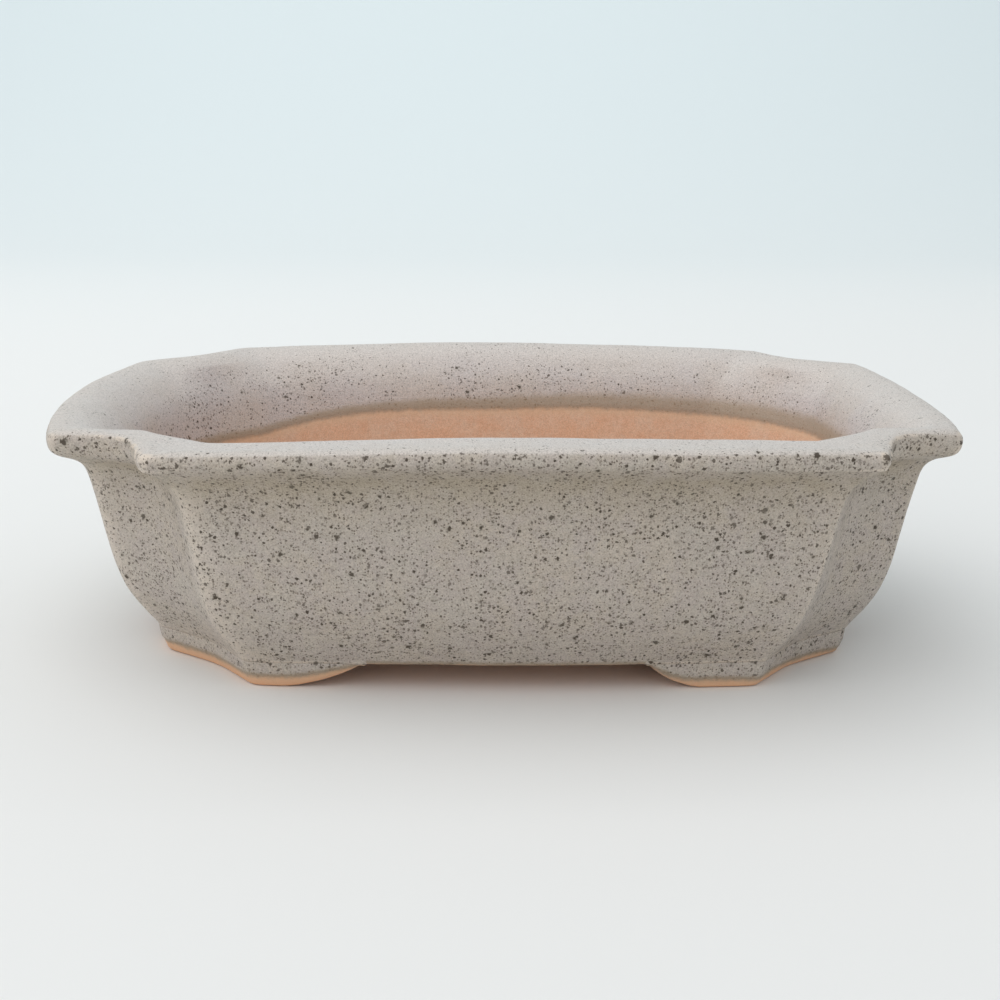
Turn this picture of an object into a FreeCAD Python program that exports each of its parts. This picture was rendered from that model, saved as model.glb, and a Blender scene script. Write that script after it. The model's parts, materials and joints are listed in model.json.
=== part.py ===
"""A small mokko-shaped bonsai pot with recessed corners, hand built from clay pieces.

The plan is an oblong with four gently bowed sides and a stepped-in recess at each corner.
The walls flare up into a rolled lip and curve in below to a waist, under which four bracket
feet carry the pot. Each clay piece is one solid. +Z is up, and the origin is on the ground
under the middle of the pot. All lengths are in millimetres.
"""

import FreeCAD, Part
import math
import os

from FreeCAD import Vector

# The plan at the lip's outer edge. An inset is measured in from it along both X and Y.
LIP_HALF_LENGTH = 90.4      # from the middle to the end of a short side, before its bow
LIP_HALF_WIDTH = 63.9       # from the middle to the end of a long side, before its bow
RECESS = 21.1               # how far the corner recess runs along each side
LIP_BOW = 4.6               # how far the middle of each side stands out past its ends
BOW_FADE = 0.12             # the bow lost for each millimetre of inset
RECESS_DEPTH = 7.0          # how far the recess dips in behind its two ends at the lip
DEPTH_FADE = 0.28           # the depth lost for each millimetre of inset, outside
INNER_BULGE = 2.9           # inside, the corner swells outwards by this much
RECESS_ROUND = 0.25         # how round the bottom of the recess is, from 0 for a sharp V

# Heights
FOOT_HEIGHT = 5.8
FLOOR_THICKNESS = 6.0
FLOOR_TOP = FOOT_HEIGHT + FLOOR_THICKNESS
RIM_JOINT = 44.0            # the rim strips are laid on the walls here
HEIGHT = 52.0               # the lip's crest at the corners
CROWN = 1.6                 # how much higher the lip is in the middle of a long side

# Outlines across the wall, as (inset, height) points
FLOOR_INSET = 22.5
WALL_OUTSIDE = (
    (16.9, FOOT_HEIGHT),
    (15.0, 9.1),
    (11.8, 15.3),
    (9.1, 25.2),
    (7.45, 35.2),
    (6.4, 40.6),
    (5.15, RIM_JOINT),
)
WALL_INSIDE = (
    (14.6, RIM_JOINT),
    (14.9, 38.0),
    (15.6, 30.0),
    (16.9, 21.5),
    (19.2, 14.8),
    (FLOOR_INSET, FLOOR_TOP),
)
RIM_UNDERSIDE = (WALL_OUTSIDE[-1], (3.3, 46.0), (1.1, 47.3), (0.15, 48.4))
RIM_FACE = (RIM_UNDERSIDE[-1], (0.0, 49.4), (0.1, 50.4), (1.0, 51.5))
RIM_TOP = (RIM_FACE[-1], (3.2, HEIGHT), (8.0, 51.5), (12.4, 50.0))
RIM_INSIDE = (RIM_TOP[-1], (13.9, 47.6), WALL_INSIDE[0])

# The feet
FOOT_OUTSIDE = 18.1         # inset of a foot's outer face at the ground
FOOT_INSIDE = 26.5          # inset of its inner face
LONG_FOOT_END = 28.2        # where a foot's top ends along a long side, from the middle
LONG_FOOT_CURVE = 14.2      # how much further out it meets the ground
SHORT_FOOT_END = 11.0       # the same along a short side
SHORT_FOOT_CURVE = 9.0

# The holes in the floor
DRAIN_RADIUS = 7.0
DRAIN_SPACING = 76.0        # between the middles of the two drain holes
WIRE_HOLE_RADIUS = 1.75
WIRE_HOLE_OFFSET = 22.0     # from the middle of a drain hole, to the front and to the back

SIDE_STATIONS = [-1.0, -0.5, 0.0, 0.5, 1.0]
RECESS_STATIONS = [-1.0, -0.75, -0.5, -0.25, 0.0, 0.25, 0.5, 0.75, 1.0]
MARGIN = 5.0                # how far a cutting tool reaches past what it cuts


def bow(inset):
    """How far a side stands out at its middle, at this inset."""
    return LIP_BOW - BOW_FADE * inset


def outer_depth(inset):
    """How deep the corner recess is outside, at this inset."""
    return RECESS_DEPTH - DEPTH_FADE * inset


def inner_depth(inset):
    """Over the rim's top the recess turns into a swelling, which goes on down inside."""
    blend = min((inset - RIM_TOP[0][0]) / (RIM_TOP[-1][0] - RIM_TOP[0][0]), 1.0)
    return outer_depth(RIM_TOP[0][0]) * (1.0 - blend) - INNER_BULGE * blend


def recess_curve(along):
    """1 at the bottom of the recess and 0 at its two ends: a V with a rounded point."""
    end = math.hypot(1.0, RECESS_ROUND) - RECESS_ROUND
    return 1.0 - (math.hypot(along, RECESS_ROUND) - RECESS_ROUND) / end


def long_side(along, inset, height, _depth):
    """A point on the back side: along runs from -1 at its left end to 1 at its right."""
    arch = 1.0 - along * along
    lift = CROWN * arch * (height - FOOT_HEIGHT) / (HEIGHT - FOOT_HEIGHT)
    x = along * (LIP_HALF_LENGTH - RECESS - inset)
    return Vector(x, LIP_HALF_WIDTH - inset + bow(inset) * arch, height + lift)


def short_side(along, inset, height, _depth):
    """A point on the right side: along runs from -1 at its front end to 1 at its back."""
    x = LIP_HALF_LENGTH - inset + bow(inset) * (1.0 - along * along)
    return Vector(x, along * (LIP_HALF_WIDTH - RECESS - inset), height)


def recess(along, inset, height, depth):
    """A point on the back right corner, from the long side's end to the short side's."""
    dip = depth(inset) * recess_curve(along) * math.sqrt(0.5)
    x = LIP_HALF_LENGTH - inset - RECESS * (1.0 - along) / 2.0 - dip
    y = LIP_HALF_WIDTH - inset - RECESS * (1.0 + along) / 2.0 - dip
    return Vector(x, y, height)


def even_curve(points):
    """A smooth curve through the points, on the same parameters in every section."""
    if len(points) == 2:
        return Part.LineSegment(points[0], points[1]).toShape()
    curve = Part.BSplineCurve()
    steps = [i / (len(points) - 1) for i in range(len(points))]
    curve.interpolate(Points=points, Parameters=steps)
    return curve.toShape()


def strip(side, stations, outlines):
    """A length of wall or rim, lofted along one side from closed sections across it.

    Each outline comes with the recess depth at its first point and at its last.
    """
    sections = []
    for along in stations:
        edges = []
        for outline, first_depth, last_depth in outlines:
            depths = [first_depth] * (len(outline) - 1) + [last_depth]
            points = [side(along, *place, depth) for place, depth in zip(outline, depths)]
            edges.append(even_curve(points))
        sections.append(Part.Wire(edges))
    return Part.makeLoft(sections, True, False)


def wall(side, stations):
    """A wall panel: it stands round the floor's edge and carries the rim."""
    floor_edge = ((FLOOR_INSET, FLOOR_TOP), (FLOOR_INSET, FOOT_HEIGHT))
    return strip(side, stations, (
        (WALL_OUTSIDE, outer_depth, outer_depth),
        ((WALL_OUTSIDE[-1], WALL_INSIDE[0]), outer_depth, inner_depth),
        (WALL_INSIDE, inner_depth, inner_depth),
        (floor_edge, inner_depth, inner_depth),
        ((floor_edge[-1], WALL_OUTSIDE[0]), inner_depth, outer_depth),
    ))


def rim(side, stations):
    """A lip strip: it overhangs the wall outside and slopes gently down inside."""
    return strip(side, stations, (
        (RIM_UNDERSIDE, outer_depth, outer_depth),
        (RIM_FACE, outer_depth, outer_depth),
        (RIM_TOP, inner_depth, inner_depth),
        (RIM_INSIDE, inner_depth, inner_depth),
        ((RIM_INSIDE[-1], RIM_UNDERSIDE[0]), inner_depth, outer_depth),
    ))


def level_curve(side, stations, inset, height, depth):
    """One stretch of the plan, lying flat: the lift of the long sides is left out."""
    points = [side(along, inset, height, depth) for along in stations]
    return even_curve([Vector(point.x, point.y, height) for point in points])


def mirrored(shape, across_x, across_y):
    """The shape reflected to the left of the pot, to the front, or both."""
    origin = Vector(0, 0, 0)
    if across_x:
        shape = shape.mirror(origin, Vector(1, 0, 0))
    if across_y:
        shape = shape.mirror(origin, Vector(0, 1, 0))
    return shape


def upright_hole(x, y, radius):
    """A cylinder that cuts a round hole right through the floor."""
    base = Vector(x, y, FOOT_HEIGHT - MARGIN)
    return Part.makeCylinder(radius, FLOOR_THICKNESS + 2 * MARGIN, base)


def floor_slab():
    """The floor: a flat slab with two drain holes and four holes for tying-in wire."""
    quarters = []
    for across_x, across_y in ((False, False), (True, False), (True, True), (False, True)):
        corner = level_curve(recess, RECESS_STATIONS, FLOOR_INSET, FOOT_HEIGHT, inner_depth)
        quarters.append(mirrored(corner, across_x, across_y))
    back = level_curve(long_side, SIDE_STATIONS, FLOOR_INSET, FOOT_HEIGHT, inner_depth)
    right = level_curve(short_side, SIDE_STATIONS, FLOOR_INSET, FOOT_HEIGHT, inner_depth)
    sides = [back, mirrored(back, False, True), right, mirrored(right, True, False)]
    outline = Part.Wire(Part.sortEdges(quarters + sides)[0])
    slab = Part.Face(outline).extrude(Vector(0, 0, FLOOR_THICKNESS))
    for x in (-DRAIN_SPACING / 2, DRAIN_SPACING / 2):
        slab = slab.cut(upright_hole(x, 0, DRAIN_RADIUS))
        for y in (-WIRE_HOLE_OFFSET, WIRE_HOLE_OFFSET):
            slab = slab.cut(upright_hole(x, y, WIRE_HOLE_RADIUS))
    return slab


def foot_outline(outside, height):
    """A closed bracket shape round the back right corner, from middle to middle."""
    long_half = [0.0, 0.5, 1.0]
    short_half = [1.0, 0.5, 0.0]
    outer = [
        level_curve(long_side, long_half, outside, height, outer_depth),
        level_curve(recess, RECESS_STATIONS, outside, height, outer_depth),
        level_curve(short_side, short_half, outside, height, outer_depth),
    ]
    inner = [
        level_curve(short_side, short_half[::-1], FOOT_INSIDE, height, inner_depth),
        level_curve(recess, RECESS_STATIONS[::-1], FOOT_INSIDE, height, inner_depth),
        level_curve(long_side, long_half[::-1], FOOT_INSIDE, height, inner_depth),
    ]
    across = Part.LineSegment(outer[-1].lastVertex(True).Point, inner[0].firstVertex(True).Point)
    back = Part.LineSegment(inner[-1].lastVertex(True).Point, outer[0].firstVertex(True).Point)
    return Part.Wire(outer + [across.toShape()] + inner + [back.toShape()])


def foot_end(end, curve):
    """The space between the middle of a side and the curved end of its foot.

    The foot's end leaves the ground at end + curve along X, and bends up to its top at end.
    """
    radius = (curve * curve + FOOT_HEIGHT * FOOT_HEIGHT) / (2 * FOOT_HEIGHT)
    turn = math.asin(curve / radius)
    middle = Vector(end + curve, 0, radius)
    top = Vector(end, 0, FOOT_HEIGHT)
    half_way = middle - Vector(radius * math.sin(turn / 2), 0, radius * math.cos(turn / 2))
    ground = Vector(end + curve, 0, 0)
    corners = [ground, ground - Vector(0, 0, MARGIN), Vector(-MARGIN, 0, -MARGIN)]
    corners += [Vector(-MARGIN, 0, FOOT_HEIGHT + MARGIN), Vector(end, 0, FOOT_HEIGHT + MARGIN), top]
    edges = [Part.Arc(top, half_way, ground).toShape()]
    edges += [Part.LineSegment(a, b).toShape() for a, b in zip(corners, corners[1:])]
    return Part.Face(Part.Wire(edges)).extrude(Vector(0, LIP_HALF_LENGTH, 0))


def foot():
    """The bracket foot under the back right corner."""
    waist = foot_outline(WALL_OUTSIDE[0][0], FOOT_HEIGHT)
    ground = foot_outline(FOOT_OUTSIDE, 0.0)
    bracket = Part.makeLoft([ground, waist], True, True)
    long_end = foot_end(LONG_FOOT_END, LONG_FOOT_CURVE)
    short_end = foot_end(SHORT_FOOT_END, SHORT_FOOT_CURVE)
    swapped = short_end.mirror(Vector(0, 0, 0), Vector(1, -1, 0))
    return bracket.cut(long_end).cut(swapped)


def pot():
    """Every clay piece of the pot, by name."""
    pieces = {"floor_slab": floor_slab()}
    for kind, make in (("wall", wall), ("rim", rim)):
        long_piece = make(long_side, SIDE_STATIONS)
        short_piece = make(short_side, SIDE_STATIONS)
        pieces[kind + "_back"] = long_piece
        pieces[kind + "_front"] = mirrored(long_piece, False, True)
        pieces[kind + "_right"] = short_piece
        pieces[kind + "_left"] = mirrored(short_piece, True, False)
    corner_pieces = {
        "corner": wall(recess, RECESS_STATIONS),
        "rim_corner": rim(recess, RECESS_STATIONS),
        "foot": foot(),
    }
    for kind, piece in corner_pieces.items():
        for x_name, across_x in (("right", False), ("left", True)):
            for y_name, across_y in (("back", False), ("front", True)):
                name = kind + "_" + y_name + "_" + x_name
                pieces[name] = mirrored(piece, across_x, across_y)
    return pieces


os.makedirs("parts", exist_ok=True)
for name, shape in pot().items():
    shape.exportStep("parts/" + name + ".step")
    print(name, "valid" if shape.isValid() else "NOT VALID", round(shape.Volume), "mm3")
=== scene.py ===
"""The looks of a small mokko-shaped bonsai pot: orange clay under a speckled, satin grey glaze.

The clay pieces are cut from one continuous surface, so that their shapes and normals run on
from piece to piece, as they do on a pot whose pieces are luted together and glazed over.
"""

import json
import math

import bpy
import numpy as np
from mathutils import Matrix, Vector, noise
from mathutils.geometry import delaunay_2d_cdt


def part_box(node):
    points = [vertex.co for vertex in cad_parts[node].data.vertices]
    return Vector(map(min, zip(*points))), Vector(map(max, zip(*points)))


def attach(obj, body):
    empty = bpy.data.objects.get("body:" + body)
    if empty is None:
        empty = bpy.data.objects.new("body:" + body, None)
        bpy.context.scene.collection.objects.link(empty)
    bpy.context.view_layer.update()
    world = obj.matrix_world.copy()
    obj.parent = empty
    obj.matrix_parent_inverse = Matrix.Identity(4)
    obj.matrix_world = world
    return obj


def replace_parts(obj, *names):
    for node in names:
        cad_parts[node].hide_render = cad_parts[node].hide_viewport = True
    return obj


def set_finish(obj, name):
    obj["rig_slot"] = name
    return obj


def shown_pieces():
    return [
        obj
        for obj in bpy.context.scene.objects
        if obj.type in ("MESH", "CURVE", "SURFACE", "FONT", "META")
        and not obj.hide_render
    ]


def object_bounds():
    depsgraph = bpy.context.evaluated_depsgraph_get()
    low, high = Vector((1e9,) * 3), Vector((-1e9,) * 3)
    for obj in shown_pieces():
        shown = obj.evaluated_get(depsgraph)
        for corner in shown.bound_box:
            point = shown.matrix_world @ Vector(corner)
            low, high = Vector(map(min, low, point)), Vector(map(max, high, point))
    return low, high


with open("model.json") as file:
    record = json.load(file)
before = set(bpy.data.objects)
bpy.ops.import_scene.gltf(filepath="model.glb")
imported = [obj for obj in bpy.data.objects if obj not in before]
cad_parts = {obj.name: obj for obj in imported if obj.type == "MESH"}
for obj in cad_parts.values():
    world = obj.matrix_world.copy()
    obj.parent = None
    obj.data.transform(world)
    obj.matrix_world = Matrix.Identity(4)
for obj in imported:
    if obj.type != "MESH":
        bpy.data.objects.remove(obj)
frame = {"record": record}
cad_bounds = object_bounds()

MM = 0.001
HANDWORK_SEED = 3
noise.seed_set(HANDWORK_SEED)  # without a seed, the vector noise differs from run to run

# ---- Driving dimensions, read from the frame ------------------------------------------------

RIM_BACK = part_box("rim_back")
RIM_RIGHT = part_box("rim_right")
RIM_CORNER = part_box("rim_corner_back_right")
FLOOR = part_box("floor_slab")
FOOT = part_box("foot_back_right")
TIP_X = RIM_CORNER[1][0]     # where a short side's lip ends, at the recess
TIP_Y = RIM_CORNER[1][1]     # where a long side's lip ends, at the recess
LONG_END = RIM_BACK[1][0]    # half the length of a long side's lip
SHORT_END = RIM_RIGHT[1][1]  # half the length of a short side's lip
RECESS = TIP_X - LONG_END
LIP_HEIGHT = RIM_RIGHT[1][2]
CROWN = RIM_BACK[1][2] - LIP_HEIGHT
RIM_JOINT = RIM_RIGHT[0][2]
WAIST = FLOOR[0][2]
FLOOR_TOP = FLOOR[1][2]
LIP_BOW = cad_bounds[1][1] - TIP_Y

# ---- The shape of the clay: the CAD's, and what the hands made of it -------------------------

BOW_FADE = 0.12    # bow lost for each unit of inset
DEPTH_FADE = 0.28  # recess depth lost for each unit of inset, outside
RECESS_DEPTH = 7.0 * MM
INNER_BULGE = 2.9 * MM
RECESS_ROUND = 0.25
SWELLING = (-3.1 * MM, 14.26 * MM)  # insets over which the recess turns into a swelling
SIDE_BOWS = {                       # the four sides came out of the hands a little uneven
    "right": LIP_BOW - 0.8 * MM,
    "back": LIP_BOW,
    "left": LIP_BOW + 1.9 * MM,
    "front": LIP_BOW,
}
BACK_RECESSES = 0.6  # and the two recesses at the back came out shallower
LIP_LIFTS = [        # (side, share along it, mm by which its lip stands higher)
    ("right", 0.0, 1.15), ("right", 1.0, 0.8), ("back_right", 0.5, 0.45), ("back", 0.06, 1.0),
    ("back", 0.5, 0.4), ("back", 0.94, 1.0), ("back_left", 0.5, 0.75), ("left", 0.15, 0.1),
    ("left", 1.0, 0.0), ("front", 0.1, -0.4), ("front", 0.5, 0.0), ("front", 0.9, 0.5),
]
FRONT_SHIFT = 1.1 * MM          # how far the front's lip sits to the right
LIFT_BLEND = 14                 # columns over which one lift passes into the next
FRONT_FACE_TURN = (0.3, 1.0)    # shares of a front recess over which the lip's face changes,
FRONT_TOP_TURN = (-0.05, 0.45)  # its top changes,
FRONT_SHIFT_TURN = (0.0, 0.9)   # and the shift comes in
ROUNDER_LEFT = 1.5              # the left arrises are rounder than the drawing,
CRISPER_RIGHT = 0.7             # and the right ones crisper

# Across the wall, as (inset, height): up the outside, over the lip and down the inside.
# The front lip lies flat to its inner edge; the other lips slope into the pot like a trumpet.
FLOOR_INSET = 22.5
OUTSIDE = [
    (16.85, WAIST / MM), (16.6, 6.3), (15.0, 9.1), (11.8, 15.3), (9.1, 25.2), (7.45, 35.2),
    (6.4, 40.6), (5.15, RIM_JOINT / MM),
]
CREST = (0.0, 50.0)  # the outermost line of the lip, which all lips share
THIN_FACE = [(4.0, 45.6), (2.6, 46.9), (1.15, 48.1), (0.28, 49.05)]
THICK_FACE = [(3.4, 45.5), (1.4, 46.5), (0.3, 47.7), (0.03, 48.9)]
FLAT_LIP = [
    (0.1, 50.9), (0.5, 51.6), (1.5, 52.05), (4.0, 52.15), (8.0, 52.2), (11.2, 51.95),
    (13.2, 50.7), (14.2, 48.2),
]
SLOPING_LIP = [
    (0.3, 50.9), (1.3, 51.7), (3.4, 51.95), (5.8, 51.3), (8.3, 49.7), (10.8, 47.1),
]
LOWER_INSIDE = [
    (15.6, 30.0), (16.9, 21.5), (18.7, 15.4), (20.4, 12.7), (FLOOR_INSET, FLOOR_TOP / MM),
]
FLAT_INSIDE = [(14.6, RIM_JOINT / MM), (14.95, 38.0)] + LOWER_INSIDE
SLOPING_INSIDE = [(12.9, RIM_JOINT / MM), (14.5, 38.0)] + LOWER_INSIDE
LIP_UNDER_EDGE = 48.6 * MM  # where the lip's face turns into its underside
LIP_UPPER_EDGE = 51.5 * MM  # and where it turns into the top

# A foot's section, as (inset, height): down its outside, and from its sole up its inside
FOOT_OUTSIDE = [
    (16.92, 6.0), (16.82, 5.7), (16.85, 5.0), (17.0, 3.8), (17.4, 2.2), (17.75, 1.0), (18.15, 0.3),
    (18.9, 0.0),
]
FOOT_INSIDE = [(25.3, 0.0), (26.1, 0.25), (26.5, 1.0), (26.5, 6.0)]
LONG_FOOT_CURVES = {  # how far from its end each foot's sole leaves the ground
    "back_right": 14.2 * MM,
    "back_left": 14.2 * MM,
    "front_left": 18.0 * MM,
    "front_right": 12.5 * MM,
}
SHORT_FOOT_CURVE = 9.0 * MM
FOOT_TIP = 0.15 * MM  # the height that is left at a foot's two ends

WOBBLES = (  # handwork: (waves per metre, where they start, mm)
    (24, (7, 0, 0), 0.42), (95, (0, 3, 0), 0.12), (330, (0, 0, 5), 0.035),
)
WOBBLE_HEIGHT = 6 * MM  # below this it fades, so that the soles stand flat

GLAZE = 0.2 * MM           # how far the glaze stands over the bare clay
GLAZE_BRINK = (-0.4, 0.5)  # mm from the glaze line over which it thins to nothing
HOLE_ROUNDING = [          # a hole's lip, as (beyond its radius, below the surface)
    (1.1, 0.0), (0.65, 0.06), (0.3, 0.24), (0.08, 0.55), (0.0, 1.1),
]
HOLE_POINTS = 64
FLOOR_SPACING = 2.2 * MM
FLOOR_BUMPS = ((45, 1.5, 0.4), (150, 4.0, 0.12))  # (waves per metre, where they start, mm)
FLOOR_BUMP_REACH = 4 * MM                         # the bumps fade this near to a wall or a hole

GLAZE_LINE = 39.2      # mm of height down to which the inside is glazed,
GLAZE_RUN_LEFT = 3.6   # how much lower the glaze ran on the left,
GLAZE_RUN_RIGHT = 1.0  # and on the right
GLAZE_RIPPLES = ((31, 0, 0.6, 0.35), (83, 60, 2.0, 0.25))
FOOT_BARE = 2.2         # mm of a foot that was wiped bare,
FOOT_BARE_TILT = 0.006  # less towards the right
FOOT_BARE_AT_END = 0.3  # share of it that is left at a foot's two ends
FOOT_RIPPLES = ((140, 0, 1.0, 0.3), (330, 260, 0.0, 0.18))
BARE_BOTTOM = 0.35     # mm of bare clay along the body's lower edge
UNGLAZED = -6.0        # mm under the glaze line, for faces that were never glazed
GLAZED = 9.0           # mm over the glaze line, for faces that are glazed all over
EDGE_REACH = 2.2       # rows and columns over which an edge is told from a flat
FRONT_LIP_EDGE = 0.2   # share of the edges' wear that the front lip shows
RIDGE_WEAR = 0.25      # how strongly the fine ridge shows as an edge
FOOT_END_COLUMNS = 20  # a foot's edges count as no edges this near to its ends,
FOOT_TOP_ROWS = 8      # and this near to its joint
RIDGE_HEIGHT = 0.3 * MM
RIDGE_WIDTH = 0.8  # rows
ARRISES = (        # the upright arrises where the glaze ran thin, and how much; the front-left one is partly painted light on the front-left recess
    ("front", 0.6), ("front_right", 0.15), ("front_left", 0.6),
)
ARRIS_WIDTH = 4.5  # columns
COVE_WIDTH = 10.0  # rows of the hollow under the lip, where the glaze pools olive and painted shade darkens it
BRIM_WIDTH = 3.2   # rows of the lip's upper edge where large specks gather

# ---- Colours (linear) -----------------------------------------------------------------------

GLAZE_WARM = (0.49, 0.42, 0.35)
GLAZE_COOL = (0.48, 0.425, 0.37)
GLAZE_TAUPE = (0.40, 0.34, 0.285)
GLAZE_LILAC = (0.46, 0.395, 0.355)
GLAZE_PALE = (0.58, 0.53, 0.47)
GLAZE_INSIDE = (0.56, 0.50, 0.465)
GLAZE_LAVENDER = (0.56, 0.51, 0.50)
# Painted light: a lighter glaze colour for surfaces that face up, such as the lip's top
PAINTED_TOP_LIGHT_COLOUR = (0.64, 0.59, 0.55)
GLAZE_OLIVE = (0.40, 0.335, 0.25)
GLAZE_BREAK = (0.72, 0.62, 0.52)
GLAZE_THIN = (0.35, 0.27, 0.185)
SPECK_DARK = (0.048, 0.031, 0.016)
SPECK_BROWN = (0.085, 0.06, 0.038)
SPECK_HALO = (0.26, 0.235, 0.175)
CLAY_ORANGE = (0.71, 0.435, 0.29)
CLAY_PINK = (0.70, 0.49, 0.365)
CLAY_PALE = (0.72, 0.52, 0.38)
CLAY_DARK = (0.25, 0.13, 0.08)
CLAY_STAINED = (0.68, 0.49, 0.33)
CLAY_RED = (0.62, 0.36, 0.23)
# Deeper orange low on the pot: partly the clay's own colour and partly painted warm bounce light
# under the pot
CLAY_DEEP_AND_BOUNCE_LIGHT = (0.78, 0.40, 0.21)
PAPER_NEAR = (0.83, 0.83, 0.82)
PAPER_FAR = (0.71, 0.79, 0.81)

# Clouds of other tones: (colour, noise's scale, detail and roughness, from, to, most)
GLAZE_CLOUDS = (
    (GLAZE_TAUPE, (0.32, 3.0, 0.6), 0.38, 0.66, 0.4),
    (GLAZE_LILAC, (0.21, 4.0, 0.65), 0.42, 0.6, 0.75),
    (GLAZE_PALE, (1.1, 3.0, 0.65), 0.35, 0.72, 0.35),
)

# Specks, as (mm between them, radius in mm, strength of the faintest)
FINE_SPECKS = (0.47, 0.165, 0.35)
MIDDLE_SPECKS = (0.86, 0.245, 0.4)
LARGE_SPECKS = (2.7, 0.36, 0.75)
RARE_SPOTS = (11.0, 0.6, 0.55)
BRIM_BLOTS = (2.2, 0.45, 0.85)
CLAY_SPECKS = (2.6, 0.16, 0.55)
HALO_RADIUS = 0.7  # of the stain round a large speck
HALO_SOFTNESS = 0.3
SPECK_SOFTNESS = 0.55
SPECK_SIZES = (0.35, 1.6)  # the smallest and the largest, as shares of the radius,
MANY_SMALL = 1.6           # and how much more often they are small
BRIM_CROWD = 1.9           # how much larger the large specks are on the lip's edge

CLAY_ROUGHNESS = 0.9

# Reliefs, in mm
GLAZE_SWELL = 0.12
ORANGE_PEEL = 0.07
SPECK_PIT = 0.03
CLAY_GRAIN = 0.03
WIPE_MARKS = 0.05

# ---- Stage, light and camera (metres, radians) ----------------------------------------------

SWEEP_BACK = 1.7
SWEEP_BEND = 0.8
SWEEP_TOP = 2.2
SWEEP_HALF = 2.6
SWEEP_STEPS = 24
PAPER_FADE = 0.2  # how far back the paper starts to turn blue
PAPER_ROUGHNESS = 0.85
WINDOW_PLACE = (-0.6, -0.3, 1.05)
WINDOW_AIM = (0, 0, 0.03)
WINDOW_COLOUR = (1.0, 0.99, 0.975)
WINDOW_SIZE = 2.0
WINDOW_POWER = 11.0
BACK_LIGHT_PLACE = (0.0, 0.9, 1.3)
BACK_LIGHT_AIM = (0.0, 1.7, 0.5)
BACK_LIGHT_SIZE = 1.6
BACK_LIGHT_POWER = 4.2
BACK_LIGHT_COLOUR = (1.0, 1.0, 1.0)
AIR_COLOUR = (0.95, 0.98, 1.0)
AIR_STRENGTH = 0.68
CAMERA_LENS = 55.25
CAMERA_PLACE = (-0.0075, -0.3393, 0.1131)
CAMERA_PITCH = 0.2469
CAMERA_YAW = -0.0204
CAMERA_ROLL = 0.0094

# How many columns of points run along each kind of side, and rows across each outline
COLUMNS = {"short": 124, "recess": 60, "long": 204}
ROWS = {"outside": 78, "face": 27, "top": 49, "inside": 64, "hidden": 8}
FOOT_COLUMNS = 210
FOOT_ROWS = {"outside": 44, "sole": 14, "inside": 16}
BRIDGE = 6  # rows across a joint face, which nobody sees

# The sides, anticlockwise, and the column at which each starts
SIDES = (
    "right", "back_right", "back", "back_left", "left", "front_left", "front", "front_right",
)
KINDS = dict(zip(SIDES, ("short", "recess", "long", "recess") * 2))
STARTS = {
    side: sum(COLUMNS[KINDS[other]] for other in SIDES[:place]) for place, side in enumerate(SIDES)
}
COLUMN_COUNT = sum(COLUMNS[KINDS[side]] for side in SIDES)

# The rows of the section where something changes
JOINT_UP = ROWS["outside"] - 1            # the rim joint outside
CREST_ROW = JOINT_UP + ROWS["face"] - 1   # the lip's outermost line
COVE_ROW = JOINT_UP + 5                   # the middle of the hollow under the lip
JOINT_DOWN = CREST_ROW + ROWS["top"] - 1  # the rim joint inside
INNER_EDGE_ROW = JOINT_DOWN - 12          # where the lip turns down into the pot
SOFT_INSIDE_ROW = JOINT_DOWN + 20         # below it the inside is at its softest
SLAB_TOP_ROW = JOINT_DOWN + ROWS["inside"] - 1
SLAB_ROWS = (SLAB_TOP_ROW, SLAB_TOP_ROW + ROWS["hidden"])  # the floor slab's two edges

# How far sharp turns of the plan are softened, by rows: outside, at the lip and inside
SOFT_WALL = 1.1 * MM
SOFT_LIP = 0.8 * MM
SOFT_INNER_EDGE = 1.3 * MM
SOFT_INSIDE = 4.0 * MM


def smooth_through(points, stops, counts):
    """One curve of no sudden bends through the points, cut into runs at the stops.

    Each run from one stop's point to the next is as many evenly spaced points as its count.
    """
    points = np.array(points)
    at = np.concatenate([[0.0], np.cumsum(np.linalg.norm(np.diff(points, axis=0), axis=1))])
    gaps = np.diff(at)
    size = len(points)
    system = np.eye(size)
    target = np.zeros_like(points)
    for i in range(1, size - 1):
        system[i, i - 1:i + 2] = gaps[i - 1], 2 * (gaps[i - 1] + gaps[i]), gaps[i]
        rise = (points[i + 1] - points[i]) / gaps[i]
        target[i] = 6 * (rise - (points[i] - points[i - 1]) / gaps[i - 1])
    bend = np.linalg.solve(system, target)
    runs = []
    for start, stop, count in zip(stops, stops[1:], counts):
        fine = np.linspace(at[start], at[stop], 40 * count)
        span = np.clip(np.searchsorted(at, fine) - 1, 0, size - 2)
        gap = gaps[span][:, None]
        left = ((fine - at[span]) / gaps[span])[:, None]
        right = 1 - left
        curve = right * points[span] + left * points[span + 1]
        sway = (right ** 3 - right) * bend[span] + (left ** 3 - left) * bend[span + 1]
        curve += sway * gap ** 2 / 6
        along = np.concatenate([[0.0], np.cumsum(np.linalg.norm(np.diff(curve, axis=0), axis=1))])
        even = np.linspace(0, along[-1], count)
        runs.append(np.stack([np.interp(even, along, curve[:, k]) for k in range(2)], axis=1))
    return runs


def recess_curve(along):
    """1 at the bottom of the recess and 0 at its two ends: a V with a rounded point."""
    end = math.hypot(1.0, RECESS_ROUND) - RECESS_ROUND
    return 1.0 - (np.hypot(along, RECESS_ROUND) - RECESS_ROUND) / end


def recess_dip(depth, share, along):
    """How far a recess draws in along X and Y: share times its depth, but its full swelling."""
    return np.where(depth > 0, depth * share, depth) * recess_curve(along) * math.sqrt(0.5)


def bell(away, width):
    """1 at no distance away, and fading to nothing over some widths."""
    return np.exp(-0.5 * (away / width) ** 2)


def side_columns(kind):
    """-1 to 1 along a side, without the last point, which starts the next side."""
    return np.linspace(-1.0, 1.0, COLUMNS[kind] + 1)[:-1, None]


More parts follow.
